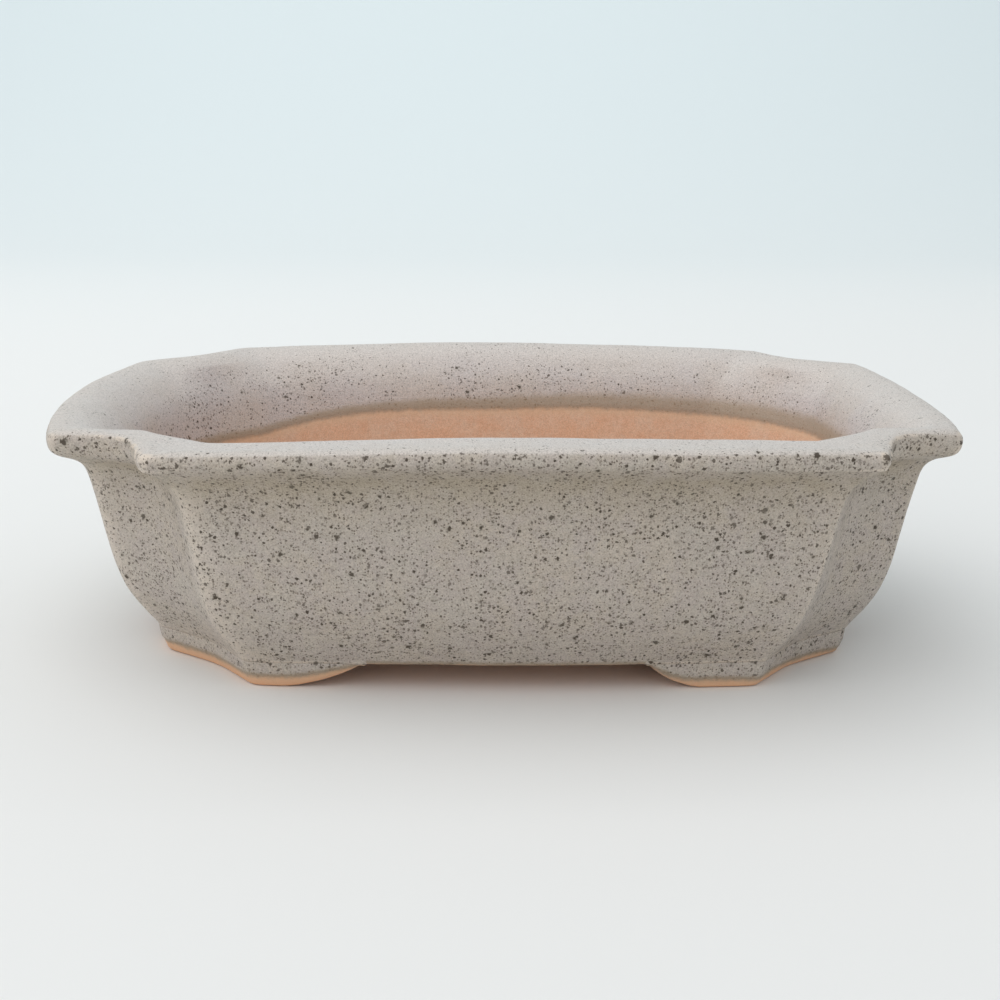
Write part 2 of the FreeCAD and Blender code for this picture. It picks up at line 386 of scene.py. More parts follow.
def plan(inset, depth, height):
    """The pot's outline at each inset, anticlockwise from the right side's front end.

    inset, depth and height hold one value for each row. The result is columns by rows by 3.
    """
    ramp = (height - WAIST) / (LIP_HEIGHT - WAIST)
    short, recess, long = (side_columns(kind) for kind in ("short", "recess", "long"))
    arch = 1 - long ** 2
    halves = ((1, "right", "back", BACK_RECESSES), (-1, "left", "front", 1.0))
    runs = []
    for half, short_side, long_side, share in halves:
        dip = recess_dip(depth, share, recess)
        begun = inset + RECESS * (1 + recess) / 2 + dip
        left = inset + RECESS * (1 - recess) / 2 + dip
        short_bow = (SIDE_BOWS[short_side] - BOW_FADE * inset) * (1 - short ** 2)
        long_bow = (SIDE_BOWS[long_side] - BOW_FADE * inset) * arch
        along_short, along_long = short * (SHORT_END - inset), -long * (LONG_END - inset)
        crowned = height + CROWN * arch * ramp
        runs += [
            (half, TIP_X - inset + short_bow, along_short, height),
            (half, TIP_X - begun, TIP_Y - left, height),
            (half, along_long, TIP_Y - inset + long_bow, crowned),
            (half, left - TIP_X, TIP_Y - begun, height),
        ]
    return np.concatenate([
        np.stack(np.broadcast_arrays(x * half, y * half, z), axis=2) for half, x, y, z in runs
    ])


def lip_lifts():
    """How much higher than drawn the lip stands at each column."""
    at = [STARTS[side] + share * COLUMNS[KINDS[side]] for side, share, _ in LIP_LIFTS]
    lifts = [lift * MM for _, _, lift in LIP_LIFTS]
    along = np.interp(np.arange(COLUMN_COUNT), at, lifts, period=COLUMN_COUNT)
    return blurred(along, LIFT_BLEND)


def soften(grid, widths):
    """Blurs each row of points along the outline by its own width, which rounds the corners."""
    count = len(grid)
    length = 2 * (2 * LONG_END + 2 * SHORT_END) + 4 * RECESS * math.sqrt(2)
    turns = 2 * math.pi * np.fft.rfftfreq(count) * count / length
    fade = bell(turns[:, None] * widths[None, :], 1)
    return np.fft.irfft(np.fft.rfft(grid, axis=0) * fade[:, :, None], count, axis=0)


def wobble(points):
    """The unevenness of handwork: a field of small shifts, the same for every piece."""
    flat = points.reshape(-1, 3)
    shift = np.zeros_like(flat)
    for scale, start, reach in WOBBLES:
        places = (flat * scale + start).tolist()
        shift += np.array([noise.noise_vector(place)[:] for place in places]) * reach * MM
    shift[:, 2] *= np.clip(flat[:, 2] / WOBBLE_HEIGHT, 0, 1)
    return points + shift.reshape(points.shape)


# ---- The whole wall and rim as one closed surface -------------------------------------------

def wall_rows(face, lip, inside):
    """Every row of the section's loop: its inset, recess depth, height and softening."""
    outline = OUTSIDE + face + [CREST] + lip + inside
    crest_stop = len(OUTSIDE) + len(face)
    stops = (0, len(OUTSIDE) - 1, crest_stop, crest_stop + len(lip) + 1, len(outline) - 1)
    counts = (ROWS["outside"], ROWS["face"], ROWS["top"], ROWS["inside"])
    up, over, across_top, down = smooth_through(outline, stops, counts)
    steps = np.linspace(0, 1, ROWS["hidden"] + 1)[1:]
    edge = down[-1] + (np.array([FLOOR_INSET, WAIST / MM]) - down[-1]) * steps[:, None]
    under = edge[-1] + (up[0] - edge[-1]) * steps[:-1, None]
    rows = np.concatenate([up, over[1:], across_top[1:], down[1:], edge, under]) * MM
    inset, height = rows[:, 0], rows[:, 1]
    outer_depth = RECESS_DEPTH - DEPTH_FADE * inset
    blend = ease(inset, *SWELLING)
    inner_depth = RECESS_DEPTH * (1 - blend) - INNER_BULGE * blend
    index = np.arange(len(rows))
    share = np.clip((index - SLAB_ROWS[1] + 1) / ROWS["hidden"], 0, 1)
    inner_depth = inner_depth * (1 - share) + outer_depth * share
    onto_top = ease(index, CREST_ROW - 2, CREST_ROW + 10)
    depth = outer_depth * (1 - onto_top) + inner_depth * onto_top
    onto_edge = ease(index, CREST_ROW, INNER_EDGE_ROW)
    down_inside = ease(index, INNER_EDGE_ROW, SOFT_INSIDE_ROW)
    soft = SOFT_LIP + (SOFT_INNER_EDGE - SOFT_LIP) * onto_edge
    soft = soft + (SOFT_INSIDE - SOFT_INNER_EDGE) * down_inside
    lip_side = np.clip((height - RIM_JOINT) / (LIP_HEIGHT - RIM_JOINT), 0, 1)
    soft = np.where(index <= CREST_ROW, SOFT_WALL + (SOFT_LIP - SOFT_WALL) * lip_side, soft)
    soft = soft * (1 - share) + SOFT_WALL * share
    return inset, depth, height, soft


def ease(value, low, high):
    """0 below low, 1 above high, and a soft step between them."""
    share = np.clip((value - low) / (high - low), 0, 1)
    return share * share * (3 - 2 * share)


def grid_normals(grid, closed=True):
    """Unit normals out of the clay, of a grid that closes across and, if it says so, along."""
    if closed:
        along = np.roll(grid, -1, axis=0) - np.roll(grid, 1, axis=0)
    else:
        along = np.gradient(grid, axis=0)
    across = np.roll(grid, -1, axis=1) - np.roll(grid, 1, axis=1)
    normals = np.cross(along, across)
    return normals / np.maximum(np.linalg.norm(normals, axis=2, keepdims=True), 1e-12)


def blurred(values, width, axis=0):
    """The values, each the mean of its neighbourhood along an axis that closes on itself."""
    count = values.shape[axis]
    fade = bell(2 * math.pi * np.fft.rfftfreq(count) * width, 1)
    shape = [1] * values.ndim
    shape[axis] = len(fade)
    return np.fft.irfft(np.fft.rfft(values, axis=axis) * fade.reshape(shape), count, axis=axis)


def ridges(grid, normals, width):
    """How far each point stands out of its neighbourhood: above 0 on an edge, below in a hollow."""
    around = blurred(blurred(grid, width), width, axis=1)
    return ((grid - around) * normals).sum(axis=2) / MM


def ripples(points, waves):
    """Uneven waves in mm, each (turn per metre along X, along Y, start, height)."""
    x, y = points[..., 0], points[..., 1]
    return sum(tall * np.sin(x * by_x + y * by_y + start) for by_x, by_y, start, tall in waves)


def glaze_line(points):
    """The height down to which the inside is glazed: poured in, it ran lower at the ends."""
    x = points[..., 0]
    left = np.clip(-x - 14 * MM, 0, 46 * MM) / (38 * MM)
    right = ease(x, 15 * MM, 60 * MM)
    run = GLAZE_RUN_LEFT * left ** 2 + GLAZE_RUN_RIGHT * right
    return (GLAZE_LINE + ripples(points, GLAZE_RIPPLES) - run) * MM


def foot_line(points):
    """How far above a foot's sole the glaze was wiped off."""
    wiped = FOOT_BARE + ripples(points, FOOT_RIPPLES)
    return wiped * MM - FOOT_BARE_TILT * points[..., 0]


def sink_bare_clay(grid, normals, over_line):
    """The points, with those under no glaze set back by the glaze's thickness."""
    back = GLAZE * (1 - ease(over_line, *GLAZE_BRINK))
    back = back * ease(grid[..., 2], 0.0, 1.0 * MM)
    return grid - normals * back[..., None]


def new_object(name, verts, faces):
    """A smooth object from its points and faces."""
    mesh = bpy.data.meshes.new(name)
    mesh.from_pydata(verts, [], faces)
    mesh.polygons.foreach_set("use_smooth", [True] * len(mesh.polygons))
    made = bpy.data.objects.new(name, mesh)
    bpy.context.collection.objects.link(made)
    return made


def clay_piece(name, verts, faces, values, slot):
    """A piece of the pot, with named values at its points."""
    piece = new_object(name, verts, faces)
    for key, column in values.items():
        layer = piece.data.attributes.new(key, "FLOAT", "POINT")
        layer.data.foreach_set("value", np.asarray(column, dtype=np.float32).ravel())
    piece.data.update()
    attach(piece, "root")
    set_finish(piece, slot)
    return piece


def closed_tube(name, loop, normals, values):
    """A glazed piece from a grid of shown rows: the last row is bridged to the first, ends capped."""
    shown = loop.shape[1]
    steps = np.linspace(0, 1, BRIDGE + 2)[1:-1, None]
    bridge = loop[:, -1:] + (loop[:, :1] - loop[:, -1:]) * steps
    run = np.gradient(loop[:, 0], axis=0)
    flat = np.cross(run, loop[:, 0] - loop[:, -1])
    flat /= np.maximum(np.linalg.norm(flat, axis=1, keepdims=True), 1e-12)
    loop = np.concatenate([loop, bridge], axis=1)
    wide, tall = loop.shape[:2]
    index = np.arange(wide * tall).reshape(wide, tall)
    here, ahead = index[:-1], index[1:]
    quads = np.stack([here, ahead, np.roll(ahead, -1, 1), np.roll(here, -1, 1)], axis=2)
    faces = [list(map(int, quad)) for quad in quads.reshape(-1, 4)]
    faces.append([int(i) for i in index[0]])
    faces.append([int(i) for i in index[-1][::-1]])
    corner_normals = []
    for face in faces[:-2]:
        column, row = divmod(face[0], tall)
        if row >= shown - 1:
            corner_normals.extend([flat[column]] * 4)
        else:
            corner_normals.extend(normals[i // tall, i % tall] for i in face)
    for step in (loop[0, 0] - loop[1, 0], loop[-1, 0] - loop[-2, 0]):
        corner_normals.extend([step / np.linalg.norm(step)] * tall)
    padded = {
        key: np.concatenate([grid, np.repeat(grid[:, -1:], BRIDGE, axis=1)], axis=1)
        for key, grid in values.items()
    }
    piece = clay_piece(name, loop.reshape(-1, 3).tolist(), faces, padded, "speckled_glaze")
    piece.data.normals_split_custom_set(corner_normals)
    return piece


def frontness(begin, end):
    """For each column, 1 along the front and 0 along the other sides.

    The change runs over each front recess, from its share begin to its share end.
    """
    share = np.zeros(COLUMN_COUNT)
    rise = ease(np.linspace(0, 1, COLUMNS["recess"]), begin, end)
    share[STARTS["front_left"]:STARTS["front"]] = rise
    share[STARTS["front"]:STARTS["front_right"]] = 1
    share[STARTS["front_right"]:] = rise[::-1]
    return share[:, None, None]


def soften_unevenly(grid, widths):
    """Softens the turns of the plan, more on the pot's left than on its right."""
    right = ease(grid[..., :1], -20 * MM, 20 * MM)
    crisp = soften(grid, widths * CRISPER_RIGHT)
    return crisp * right + soften(grid, widths * ROUNDER_LEFT) * (1 - right)


def lip_ridge(rows_height):
    """How far a fine ridge of glaze stands out, by column and row.

    It runs under the right half of the front lip and curls up round both its ends.
    """
    rows = np.arange(JOINT_UP, CREST_ROW + 8)
    under = np.interp(LIP_UNDER_EDGE, rows_height[rows], rows)
    upper = np.interp(LIP_UPPER_EDGE, rows_height[rows], rows)
    centre = np.full(COLUMN_COUNT, under)
    strength = np.zeros(COLUMN_COUNT)
    front = slice(STARTS["front"], STARTS["front_right"])
    along = np.linspace(-1, 1, COLUMNS["long"])
    strength[front] = ease(along, 0.3, 0.85) + ease(-along, 0.86, 1.0)
    curl = np.linspace(0, 1, COLUMNS["recess"])
    climb = under + (upper - under) * ease(curl, 0.0, 0.22)
    fade = 1 - ease(curl, 0.5, 0.8)
    right = slice(STARTS["front_right"], COLUMN_COUNT)
    left = slice(STARTS["front_left"], STARTS["front"])
    centre[right], strength[right] = climb, fade
    centre[left], strength[left] = climb[::-1], fade[::-1]
    across = np.arange(len(rows_height))[None, :] - centre[:, None]
    return RIDGE_HEIGHT * strength[:, None] * bell(across, RIDGE_WIDTH)


def handmade_grid():
    """The points of the wall and rim all round, and the drawn height of each row."""
    flat = wall_rows(THIN_FACE, FLAT_LIP, FLAT_INSIDE)
    sloping = wall_rows(THICK_FACE, SLOPING_LIP, SLOPING_INSIDE)
    over = ease(np.arange(len(flat[0])), CREST_ROW - 1, CREST_ROW + 1)[None, :, None]
    share = frontness(*FRONT_FACE_TURN) * (1 - over) + frontness(*FRONT_TOP_TURN) * over
    grid = soften_unevenly(plan(*flat[:3]), flat[3]) * share
    grid = grid + soften_unevenly(plan(*sloping[:3]), sloping[3]) * (1 - share)
    ramp = np.clip((grid[..., 2] - WAIST) / (LIP_HEIGHT - WAIST), 0, 1)
    grid[..., 2] += lip_lifts()[:, None] * ramp
    grid[..., 0] += FRONT_SHIFT * frontness(*FRONT_SHIFT_TURN)[..., 0] * ramp
    return wobble(grid), flat[2]


def over_glaze_line(grid):
    """How many mm each point of the wall and rim is on the glazed side of the glaze's end."""
    rows = np.arange(grid.shape[1])
    over_line = (grid[..., 2] - glaze_line(grid)) / MM
    footless = (np.abs(grid[..., 0]) < FOOT[0][0]) | (np.abs(grid[..., 1]) < FOOT[0][1])
    bottom = np.where(footless, (grid[..., 2] - WAIST) / MM - BARE_BOTTOM, GLAZED)
    outside = rows <= CREST_ROW + 6
    over_line[:, outside] = bottom[:, outside]
    over_line[:, rows >= SLAB_ROWS[0]] = UNGLAZED
    return over_line


def arris_lines(rows):
    """Where the glaze ran thin on the upright arrises, up to the flare of the lip; at the front-left
    arris the paler line is partly painted light.
    """
    lines = np.zeros((COLUMN_COUNT, len(rows)))
    for side, strength in ARRISES:
        line = strength * bell(np.arange(COLUMN_COUNT) - STARTS[side], ARRIS_WIDTH)
        lines += line[:, None] * (1 - ease(rows, JOINT_UP - 6, JOINT_UP + 10))
    return lines


def all_round(by_row):
    """The same value for each row in every column."""
    return np.tile(by_row, (COLUMN_COUNT, 1))


class Surface:
    """The wall and rim all round the pot, ready to be cut into the clay pieces.

    Its values say for each point what the glaze's look depends on there.
    """

    def __init__(self):
        grid, heights = handmade_grid()
        rows = np.arange(grid.shape[1])
        over_line = over_glaze_line(grid)
        normals = grid_normals(grid)
        ridge = lip_ridge(heights)
        grid = grid + normals * ridge[..., None]
        self.grid = sink_bare_clay(grid, normals, over_line)
        edge = ridges(self.grid, normals, EDGE_REACH)
        front = slice(STARTS["front"] + 8, STARTS["front_right"] - 8)
        edge[front, JOINT_UP:CREST_ROW + 12] *= FRONT_LIP_EDGE
        edge += ridge / RIDGE_HEIGHT * RIDGE_WEAR
        self.normals = grid_normals(self.grid)
        self.normals[:, SLAB_ROWS[0]] = (0, 0, 1)
        self.normals[:, SLAB_ROWS[1]] = (0, 0, -1)
        self.values = {
            "edge": edge,
            "over_line": over_line,
            "inner": all_round(ease(rows, CREST_ROW, CREST_ROW + 24)),
            # 1 where the surface faces up: there the glaze gets painted light and fewer specks
            "painted_top_light": ease(self.normals[..., 2], 0.5, 0.85),
            "brim": all_round(bell(rows - CREST_ROW - 2, BRIM_WIDTH)),
            "under_lip_pool_and_shade": all_round(bell(rows - COVE_ROW, COVE_WIDTH)),
            "arris": arris_lines(rows),
        }

    def cut(self, name, side, rows):
        """A closed piece from these rows of one side."""
        first = STARTS[side]
        columns = [c % COLUMN_COUNT for c in range(first, first + COLUMNS[KINDS[side]] + 1)]
        pick = np.ix_(columns, rows)
        values = {key: grid[pick] for key, grid in self.values.items()}
        return closed_tube(name, self.grid[pick], self.normals[pick], values)


def make_walls_and_rims(surface):
    """Cuts the surface at the rim joint and at the corners, into the CAD's pieces."""
    total = surface.grid.shape[1]
    rim_rows = list(range(JOINT_UP, JOINT_DOWN + 1))
    lower_rows = [row % total for row in range(JOINT_DOWN, total + JOINT_UP + 1)]
    for side in SIDES:
        at_recess = KINDS[side] == "recess"
        rim_node = f"rim_corner_{side}" if at_recess else f"rim_{side}"
        wall_node = f"corner_{side}" if at_recess else f"wall_{side}"
        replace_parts(surface.cut(rim_node + "_clay", side, rim_rows), rim_node)
        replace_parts(surface.cut(wall_node + "_clay", side, lower_rows), wall_node)


# ---- Feet -----------------------------------------------------------------------------------

def sole_height(distance, end, curve):
    """The height of a foot's sole: an arc from the ground up to the pot's bottom at its end."""
    height = WAIST - FOOT_TIP
    radius = (curve ** 2 + height ** 2) / (2 * height)
    short_of = np.clip(end + curve - distance, 0, curve)
    return radius - np.sqrt(radius ** 2 - short_of ** 2)


def column_at(values, target):
    """The fractional index at which an increasing or decreasing run of values meets the target."""
    order = values if values[-1] > values[0] else -values
    aim = target if values[-1] > values[0] else -target
    return float(np.interp(aim, order, np.arange(len(values))))


def foot_grid(section, recess):
    """One foot's points, columns by rows: along its two arms and round its recess."""
    inset, height = section[:, 0] * MM, section[:, 1] * MM
    depth = RECESS_DEPTH - DEPTH_FADE * inset
    level = np.full(len(inset), WAIST)
    whole = soften_unevenly(plan(inset, depth, level), np.full(len(inset), SOFT_WALL))
    before = SIDES[SIDES.index(recess) - 1]
    start, middle, stop = STARTS[before], STARTS[recess], STARTS[recess] + COLUMNS["recess"]
    after = SIDES[(SIDES.index(recess) + 1) % len(SIDES)]
    first = start + COLUMNS[KINDS[before]] // 2
    last = stop + COLUMNS[KINDS[after]] // 2
    run = whole[np.arange(first, last + 1) % COLUMN_COUNT]
    ends = {"short": (1, FOOT[0][1]), "long": (0, FOOT[0][0])}
    grid = np.empty((FOOT_COLUMNS, len(inset), 3))
    for row in range(len(inset)):
        line = run[:, row]
        axis, reach = ends[KINDS[before]]
        begin = column_at(np.abs(line[: middle - first, axis]), reach)
        axis, reach = ends[KINDS[after]]
        finish = stop - first + column_at(np.abs(line[stop - first:, axis]), reach)
        at = np.linspace(begin, finish, FOOT_COLUMNS)
        for axis in range(3):
            grid[:, row, axis] = np.interp(at, np.arange(len(line)), line[:, axis])
    long_sole = sole_height(np.abs(grid[..., 0]), FOOT[0][0], LONG_FOOT_CURVES[recess])
    short_sole = sole_height(np.abs(grid[..., 1]), FOOT[0][1], SHORT_FOOT_CURVE)
    sole = np.maximum(long_sole, short_sole)
    grid[..., 2] = sole + height * (WAIST - sole) / WAIST
    return wobble(grid)


def make_feet():
    """The four feet under the recesses."""
    down, = smooth_through(FOOT_OUTSIDE, (0, len(FOOT_OUTSIDE) - 1), (FOOT_ROWS["outside"],))
    up, = smooth_through(FOOT_INSIDE, (0, len(FOOT_INSIDE) - 1), (FOOT_ROWS["inside"],))
    steps = np.linspace(0, 1, FOOT_ROWS["sole"] + 1)[1:-1, None]
    section = np.concatenate([down, down[-1] + (up[0] - down[-1]) * steps, up])[::-1]
    glazed = np.arange(len(section)) > len(section) - FOOT_ROWS["outside"]
    for recess in ("back_right", "back_left", "front_left", "front_right"):
        grid = foot_grid(section, recess)
        sole = grid[..., 2].min(axis=1, keepdims=True)
        bare = foot_line(grid) * (1 - (1 - FOOT_BARE_AT_END) * sole / WAIST)
        over_line = np.where(glazed, (grid[..., 2] - sole - bare) / MM, UNGLAZED)
        normals = grid_normals(grid, closed=False)
        grid = sink_bare_clay(grid, normals, over_line)
        edge = ridges(grid, normals, EDGE_REACH)
        edge[:FOOT_END_COLUMNS] = 0
        edge[-FOOT_END_COLUMNS:] = 0
        edge[:, :FOOT_TOP_ROWS] = 0
        edge[:, -FOOT_TOP_ROWS:] = 0
        none = np.zeros_like(edge)
        values = {"edge": edge, "over_line": over_line}
        values.update({key: none for key in ("inner", "painted_top_light", "brim", "under_lip_pool_and_shade", "arris")})
        normals = grid_normals(grid, closed=False)
        normals[:, 0] = normals[:, 1]
        normals[:, -1] = normals[:, -2]
        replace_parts(closed_tube(f"foot_{recess}_clay", grid, normals, values), f"foot_{recess}")


# ---- The floor slab and its holes -----------------------------------------------------------

def floor_holes():
    """The drain holes and wire holes: each one's centre and radius."""
    bores = [mount for mount in frame["record"]["mounts"] if mount["kind"] == "bore"]
    return [(bore["pos_m"][:2], bore["dims"]["r_mm"] * MM) for bore in bores]


def inside_outline(x, y, outline):
    """Whether a point is inside the closed outline, by counting its crossings to the right."""
    ax, ay = outline[:, 0], outline[:, 1]
    bx, by = np.roll(ax, -1), np.roll(ay, -1)
    spans = (ay > y) != (by > y)
    cross = ax[spans] + (y - ay[spans]) * (bx[spans] - ax[spans]) / (by[spans] - ay[spans])
    return int((cross > x).sum()) % 2 == 1


def slab_margin(x, y, outline, holes):
    """How far a point of the slab is from its rim and from every hole's rounding."""
    rim = float(np.min(np.hypot(outline[:, 0] - x, outline[:, 1] - y)))
    reach = HOLE_ROUNDING[0][0] * MM
    return min([rim] + [math.hypot(x - c[0], y - c[1]) - r - reach for c, r in holes])


def circle(centre, radius):
    """The points round a hole, as rows of x and y."""
    turns = np.linspace(0, 2 * math.pi, HOLE_POINTS, endpoint=False)
    return np.array(centre) + radius * np.column_stack([np.cos(turns), np.sin(turns)])


def slab_face(outline, holes):
    """The slab's upper face but for its holes, as flat points and triangles.

    The outline's points come first, then a ring of points for each hole.
    """
    points = [Vector(p[:2]) for p in outline]
    edges = [(i, (i + 1) % len(outline)) for i in range(len(outline))]
    for centre, radius in holes:
        first = len(points)
        points += [Vector(p) for p in circle(centre, radius + HOLE_ROUNDING[0][0] * MM)]
        edges += [(first + i, first + (i + 1) % HOLE_POINTS) for i in range(HOLE_POINTS)]
    low, high = outline[:, :2].min(axis=0), outline[:, :2].max(axis=0)
    for i, x in enumerate(np.arange(low[0], high[0], FLOOR_SPACING)):
        for y in np.arange(low[1] + (i % 2) * FLOOR_SPACING / 2, high[1], FLOOR_SPACING):
            clear = slab_margin(x, y, outline, holes) > FLOOR_SPACING / 2
            if clear and inside_outline(x, y, outline):
                points.append(Vector((x, y)))
    found = delaunay_2d_cdt(points, edges, [], 0, 1e-7)
    triangles = []
    for face in found[2]:
        centre = sum((found[0][i] for i in face), Vector((0, 0))) / len(face)
        beside_holes = slab_margin(centre.x, centre.y, outline[:1], holes) > -0.02 * MM
        if beside_holes and inside_outline(centre.x, centre.y, outline):
            triangles.append(list(face))
    return np.array([tuple(p) for p in found[0]]), triangles


def slab_heights(flat, outline, holes):
    """The height of the slab's upper face at each point: uneven, but true to walls and holes."""
    spots = np.column_stack([flat, np.full(len(flat), FLOOR_TOP)])
    heights = wobble(spots)[:, 2]
    for i, (x, y) in enumerate(flat):
        share = np.clip(slab_margin(x, y, outline, holes) / FLOOR_BUMP_REACH, 0, 1)
        for scale, start, tall in FLOOR_BUMPS:
            heights[i] += noise.noise((x * scale, y * scale, start)) * tall * MM * share
    heights[:len(outline)] = outline[:, 2]
    return heights


def add_hole(verts, normals, faces, centre, profile, upper, lower):
    """Joins the slab's two faces round a hole, by rings down its rounded section."""
    slope = np.gradient(profile, axis=0)
    rings = [upper]
    for (radius, height), (across, down) in list(zip(profile, slope))[1:-1]:
        rings.append(np.arange(len(verts), len(verts) + HOLE_POINTS))
        verts.extend((x, y, height) for x, y in circle(centre, radius))
        normals.extend((down * x, down * y, -across) for x, y in circle((0, 0), 1))
    rings.append(lower)
    for here, under in zip(rings, rings[1:]):
        quads = np.stack([here, np.roll(here, -1), np.roll(under, -1), under], axis=1)
        faces.extend(list(map(int, quad)) for quad in quads)


def upper_normals(upper, triangles, rim_count):
    """The normals of the slab's upper face, upright at the rim, where the walls take over."""
    normals = np.zeros_like(upper)
    for a, b, c in triangles:
        face_normal = np.cross(upper[b] - upper[a], upper[c] - upper[a])
        for i in (a, b, c):
            normals[i] += face_normal
    normals[:rim_count] = (0, 0, 1)
    return normals


def make_floor(surface):
    """The slab between the walls, with an uneven upper face and six rounded holes."""
    holes = floor_holes()
    outline = surface.grid[:, SLAB_ROWS[0]]
    flat, triangles = slab_face(outline, holes)
    upper = np.column_stack([flat, slab_heights(flat, outline, holes)])
    lower = np.column_stack([flat, np.full(len(flat), WAIST)])
    lower[:len(outline)] = surface.grid[:, SLAB_ROWS[1]]
    verts = list(upper) + list(lower)
    normals = list(upper_normals(upper, triangles, len(outline))) + [(0, 0, -1)] * len(lower)
    below = len(upper)
    faces = triangles + [[i + below for i in face[::-1]] for face in triangles]
    rim = list(range(len(outline)))
    faces += [[a + below, b + below, b, a] for a, b in zip(rim, rim[1:] + rim[:1])]
    for place, (centre, radius) in enumerate(holes):
        mouth = len(outline) + place * HOLE_POINTS + np.arange(HOLE_POINTS)
        top = float(np.mean(upper[mouth, 2]))
        upper_half = [(radius + beyond * MM, top - under * MM) for beyond, under in HOLE_ROUNDING]
        lower_half = [(radius + beyond * MM, WAIST + under * MM) for beyond, under in HOLE_ROUNDING]
        profile = np.array(upper_half + lower_half[::-1])
        add_hole(verts, normals, faces, centre, profile, mouth, mouth + below)
    bare = np.full(len(verts), UNGLAZED)
    values = {"edge": bare * 0, "over_line": bare, "inner": bare * 0 + 1}
    piece = clay_piece("floor_slab_clay", [tuple(v) for v in verts], faces, values, "bare_clay")
    units = [tuple(n / max(np.linalg.norm(n), 1e-12)) for n in map(np.array, normals)]
    piece.data.normals_split_custom_set_from_vertices(units)
    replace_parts(piece, "floor_slab")


# ---- Materials ------------------------------------------------------------------------------

class Look:
    """Builds one material: each call adds a shader node and gives back its output."""

    def __init__(self, name):
        self.material = bpy.data.materials.new(name)
        self.material.use_nodes = True
        self.tree = self.material.node_tree
        self.shader = self.tree.nodes["Principled BSDF"]

    def feed(self, socket, value):
        """Links a node's output to the socket, or sets its plain number or colour."""
        if isinstance(value, bpy.types.NodeSocket):
            self.tree.links.new(value, socket)
        elif socket.type == "RGBA":
            socket.default_value = (*value, 1.0)
        else:
            socket.default_value = value

    def outputs(self, kind, inputs, **settings):
        """Adds a node with those inputs and settings, and gives back its outputs."""
        made = self.tree.nodes.new("ShaderNode" + kind)
        for key, value in settings.items():
            setattr(made, key, value)
        for key, value in inputs.items():
            self.feed(made.inputs[key], value)
        return made.outputs

    def node(self, kind, inputs, output=0, **settings):
        return self.outputs(kind, inputs, **settings)[output]

    def math(self, operation, first, second=0.0, third=0.0):
        return self.node("Math", {0: first, 1: second, 2: third}, operation=operation)

    def times(self, first, second):
        return self.math("MULTIPLY", first, second)

    def between(self, share, first, second):
        """A number between two: the first at share 0 and the second at share 1."""
        return self.node("Mix", {0: share, 2: first, 3: second}, data_type="FLOAT")

    def scaled(self, vector, factor):
        """A point or a colour, times a number."""
        return self.node("VectorMath", {0: vector, "Scale": factor}, operation="SCALE")

    def blend(self, share, first, second):
        """A colour between two: the first at share 0 and the second at share 1."""
        return self.node("Mix", {0: share, 6: first, 7: second}, output=2, data_type="RGBA")

    def step(self, value, low, high, start=0.0, end=1.0):
        """A soft step from start at low to end at high, and level beyond them."""
        inputs = {"Value": value, 1: low, 2: high, 3: start, 4: end}
        return self.node("MapRange", inputs, interpolation_type="SMOOTHSTEP")

    def noise(self, point, scale, detail=2.0, roughness=0.5):
        inputs = {"Vector": point, "Scale": scale, "Detail": detail, "Roughness": roughness}
        return self.node("TexNoise", inputs)

    def value(self, name):
        """One of the values that each mesh holds at its points."""
        return self.node("Attribute", {}, output="Fac", attribute_name=name)

    def coordinate(self, point, axis):
        """A point's x, y or z, for axis 0, 1 or 2."""
        return self.node("SeparateXYZ", {0: point}, output=axis)

    def millimetres(self):
        """The place on the pot, in millimetres, so that patterns run on from piece to piece."""
        return self.scaled(self.node("TexCoord", {}, output="Object"), 1 / MM)

    def patches(self, point, noise_settings, low, high, start=0.0, end=1.0):
        """Soft patches from noise of that scale, detail and roughness."""
        return self.step(self.noise(point, *noise_settings), low, high, start, end)

    def bent(self, point, scale, reach):
        """The same place shifted a little by noise, which makes round spots uneven."""
        colour = self.node("TexNoise", {"Vector": point, "Scale": scale, "Detail": 2.0}, output=1)
        centred = self.node("VectorMath", {0: colour, 1: (0.5, 0.5, 0.5)}, operation="SUBTRACT")
        inputs = {0: centred, 1: (reach, reach, reach), 2: point}
        return self.node("VectorMath", inputs, operation="MULTIPLY_ADD")

    def spots(self, point, specks, crowd, softness=SPECK_SOFTNESS):
        """Scattered spots of one kind of specks, at most one in each cell."""
        cell, radius, strength = specks
        inputs = {"Vector": point, "Scale": 1 / cell, "Randomness": 1.0}
        texture = self.outputs("TexVoronoi", inputs)
        chance = self.outputs("SeparateColor", {0: texture["Color"]})
        share = self.math("POWER", chance[0], MANY_SMALL)
        smallest, largest = SPECK_SIZES[0] * radius / cell, SPECK_SIZES[1] * radius / cell
        size = self.step(share, 0.0, 1.0, smallest, largest)
        size = self.times(size, crowd)
        inner = self.times(size, softness)
        mask = self.step(texture["Distance"], inner, size, 1.0, 0.0)
        weight = self.step(chance[1], 0.0, 1.0, strength, 1.0)
        return self.times(mask, weight)

    def finish(self, colour, roughness, relief):
        """Links the colour and roughness, and a relief in millimetres as bumps."""
        self.feed(self.shader.inputs["Base Color"], colour)
        self.feed(self.shader.inputs["Roughness"], roughness)
        bump = self.node("Bump", {"Height": relief, "Strength": 1.0, "Distance": MM})
        self.feed(self.shader.inputs["Normal"], bump)
        return self.material


